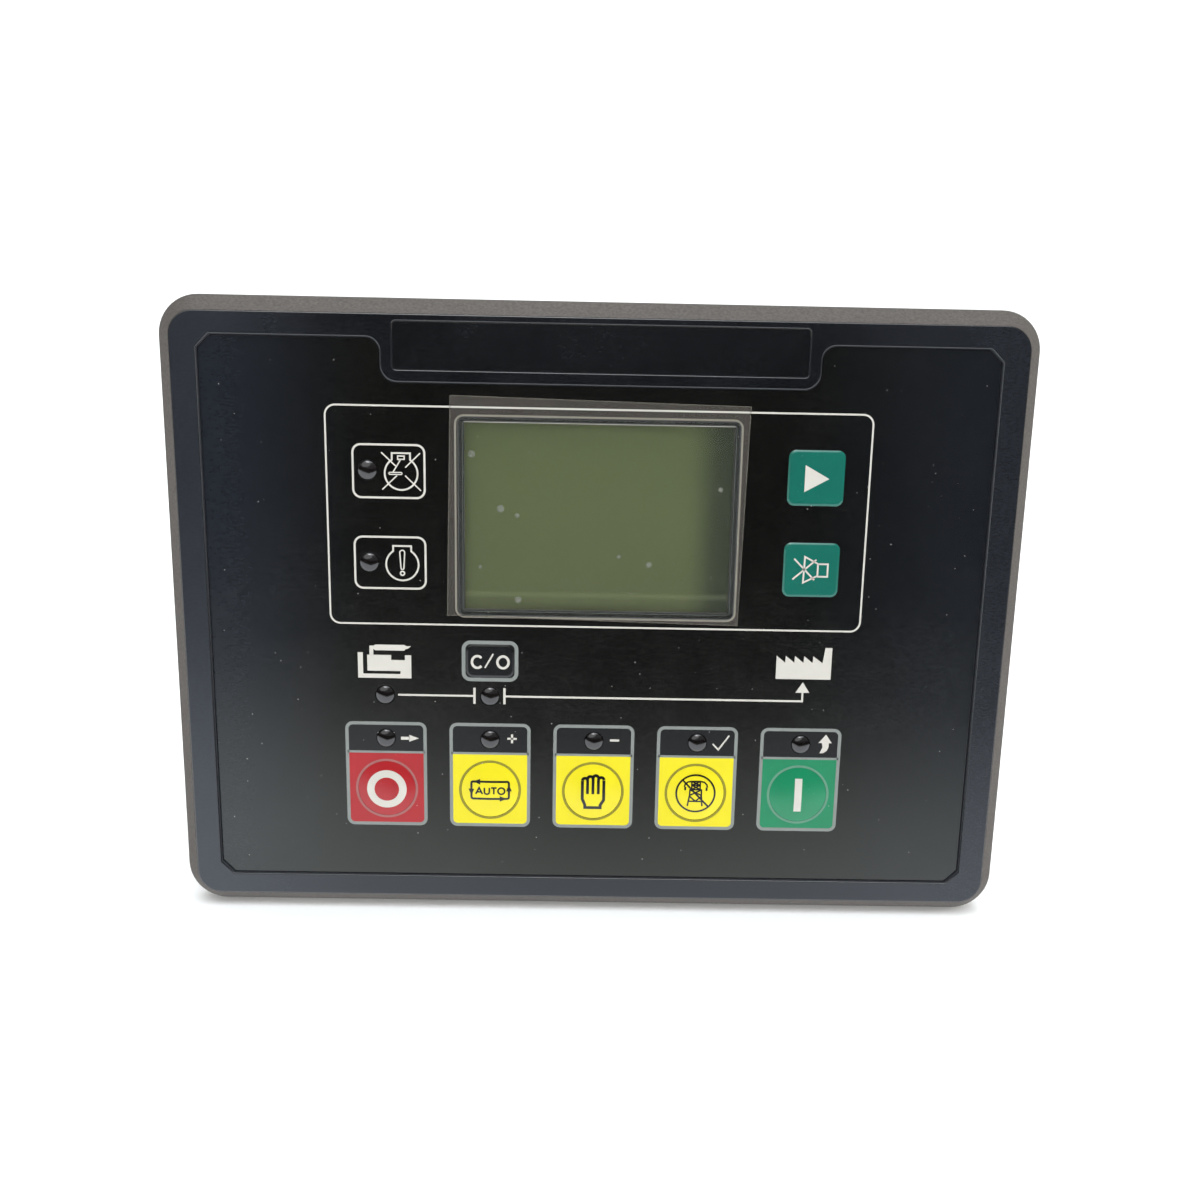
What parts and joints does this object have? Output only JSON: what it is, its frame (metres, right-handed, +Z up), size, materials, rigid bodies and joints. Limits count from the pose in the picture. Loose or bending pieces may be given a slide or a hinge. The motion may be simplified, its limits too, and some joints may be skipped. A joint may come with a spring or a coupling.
{
  "type": "genset controller",
  "caption": "Panel-mounted controller for a generating set: bevelled bezel, display window, membrane keys with lamps, stepped rear housing with terminal headers.",
  "frame": {"origin": "centre of the panel cut-out, on the panel's front surface, where the bezel's lip seals", "axes": "+X to the right seen from the front, +Z up, +Y from the front of the panel towards the back"},
  "size_m": [0.216, 0.043, 0.158],
  "materials": {
    "case_plastic": "fine moulded grain",
    "border_film": "satin printed film",
    "keypad_film": "satin printed film",
    "strip_film": "satin film, blank",
    "clear_window": "clear, polished",
    "clear_film": "clear peel-off film",
    "tinned_sheet": "plain sheet",
    "display_glass": "grey-green, unlit",
    "light_guide": "clear acrylic",
    "circuit_board": "solder resist",
    "zinc_screws": "zinc plated",
    "black_plastic": "moulded",
    "led_body": "moulded",
    "chip_plastic": "moulded",
    "relay_plastic": "moulded",
    "capacitor_sleeve": "sleeved can",
    "ferrite": "ferrite core",
    "cover_plastic": "fine moulded grain",
    "lens_plastic": "smoked clear, polished",
    "plunger_plastic": "moulded",
    "header_plastic": "moulded",
    "tinned_pins": "tin plated",
    "socket_insert": "moulded"
  },
  "bodies": {
    "controller": {"front_case": "case_plastic", "surround_film": "border_film", "name_strip": "strip_film", "keypad_overlay": "keypad_film", "display_window": "clear_window", "screen_protector": "clear_film", "lcd_frame": "tinned_sheet", "lcd_glass": "display_glass", "lcd_backlight": "light_guide", "lcd_board": "circuit_board", "lcd_screws": "zinc_screws", "lcd_connector": "black_plastic", "main_board": "circuit_board", "status_leds": "led_body", "switch_bodies": "black_plastic", "processor": "chip_plastic", "output_relays": "relay_plastic", "capacitors": "capacitor_sleeve", "inductor": "ferrite", "rear_cover": "cover_plastic", "cover_screws": "zinc_screws", "usb_shell": "tinned_sheet", "usb_insert": "socket_insert", "stop_lens": "lens_plastic", "automatic_lens": "lens_plastic", "manual_lens": "lens_plastic", "test_lens": "lens_plastic", "start_lens": "lens_plastic", "generator_lens": "lens_plastic", "breaker_lens": "lens_plastic", "shutdown_lens": "lens_plastic", "warning_lens": "lens_plastic", "generator_header": "header_plastic", "mains_header": "header_plastic", "current_header": "header_plastic", "supply_header": "header_plastic", "input_header": "header_plastic", "generator_pins": "tinned_pins", "mains_pins": "tinned_pins", "current_pins": "tinned_pins", "supply_pins": "tinned_pins", "input_pins": "tinned_pins"},
    "stop_key": {"stop_plunger": "plunger_plastic", "stop_button": "plunger_plastic"},
    "automatic_key": {"automatic_plunger": "plunger_plastic", "automatic_button": "plunger_plastic"},
    "manual_key": {"manual_plunger": "plunger_plastic", "manual_button": "plunger_plastic"},
    "test_key": {"test_plunger": "plunger_plastic", "test_button": "plunger_plastic"},
    "start_key": {"start_plunger": "plunger_plastic", "start_button": "plunger_plastic"},
    "changeover_key": {"changeover_plunger": "plunger_plastic", "changeover_button": "plunger_plastic"},
    "scroll_key": {"scroll_plunger": "plunger_plastic", "scroll_button": "plunger_plastic"},
    "mute_key": {"mute_plunger": "plunger_plastic", "mute_button": "plunger_plastic"}
  },
  "joints": [
    {"name": "stop_press", "type": "slide", "parent": "controller", "child": "stop_key", "axis": [0, 1, 0], "range_m": [0, 0.0004], "stiffness_N_per_m": 2000, "springref_m": -0.0005},
    {"name": "automatic_press", "type": "slide", "parent": "controller", "child": "automatic_key", "axis": [0, 1, 0], "range_m": [0, 0.0004], "stiffness_N_per_m": 2000, "springref_m": -0.0005},
    {"name": "manual_press", "type": "slide", "parent": "controller", "child": "manual_key", "axis": [0, 1, 0], "range_m": [0, 0.0004], "stiffness_N_per_m": 2000, "springref_m": -0.0005},
    {"name": "test_press", "type": "slide", "parent": "controller", "child": "test_key", "axis": [0, 1, 0], "range_m": [0, 0.0004], "stiffness_N_per_m": 2000, "springref_m": -0.0005},
    {"name": "start_press", "type": "slide", "parent": "controller", "child": "start_key", "axis": [0, 1, 0], "range_m": [0, 0.0004], "stiffness_N_per_m": 2000, "springref_m": -0.0005},
    {"name": "changeover_press", "type": "slide", "parent": "controller", "child": "changeover_key", "axis": [0, 1, 0], "range_m": [0, 0.0004], "stiffness_N_per_m": 2000, "springref_m": -0.0005},
    {"name": "scroll_press", "type": "slide", "parent": "controller", "child": "scroll_key", "axis": [0, 1, 0], "range_m": [0, 0.0004], "stiffness_N_per_m": 2000, "springref_m": -0.0005},
    {"name": "mute_press", "type": "slide", "parent": "controller", "child": "mute_key", "axis": [0, 1, 0], "range_m": [0, 0.0004], "stiffness_N_per_m": 2000, "springref_m": -0.0005}
  ]
}
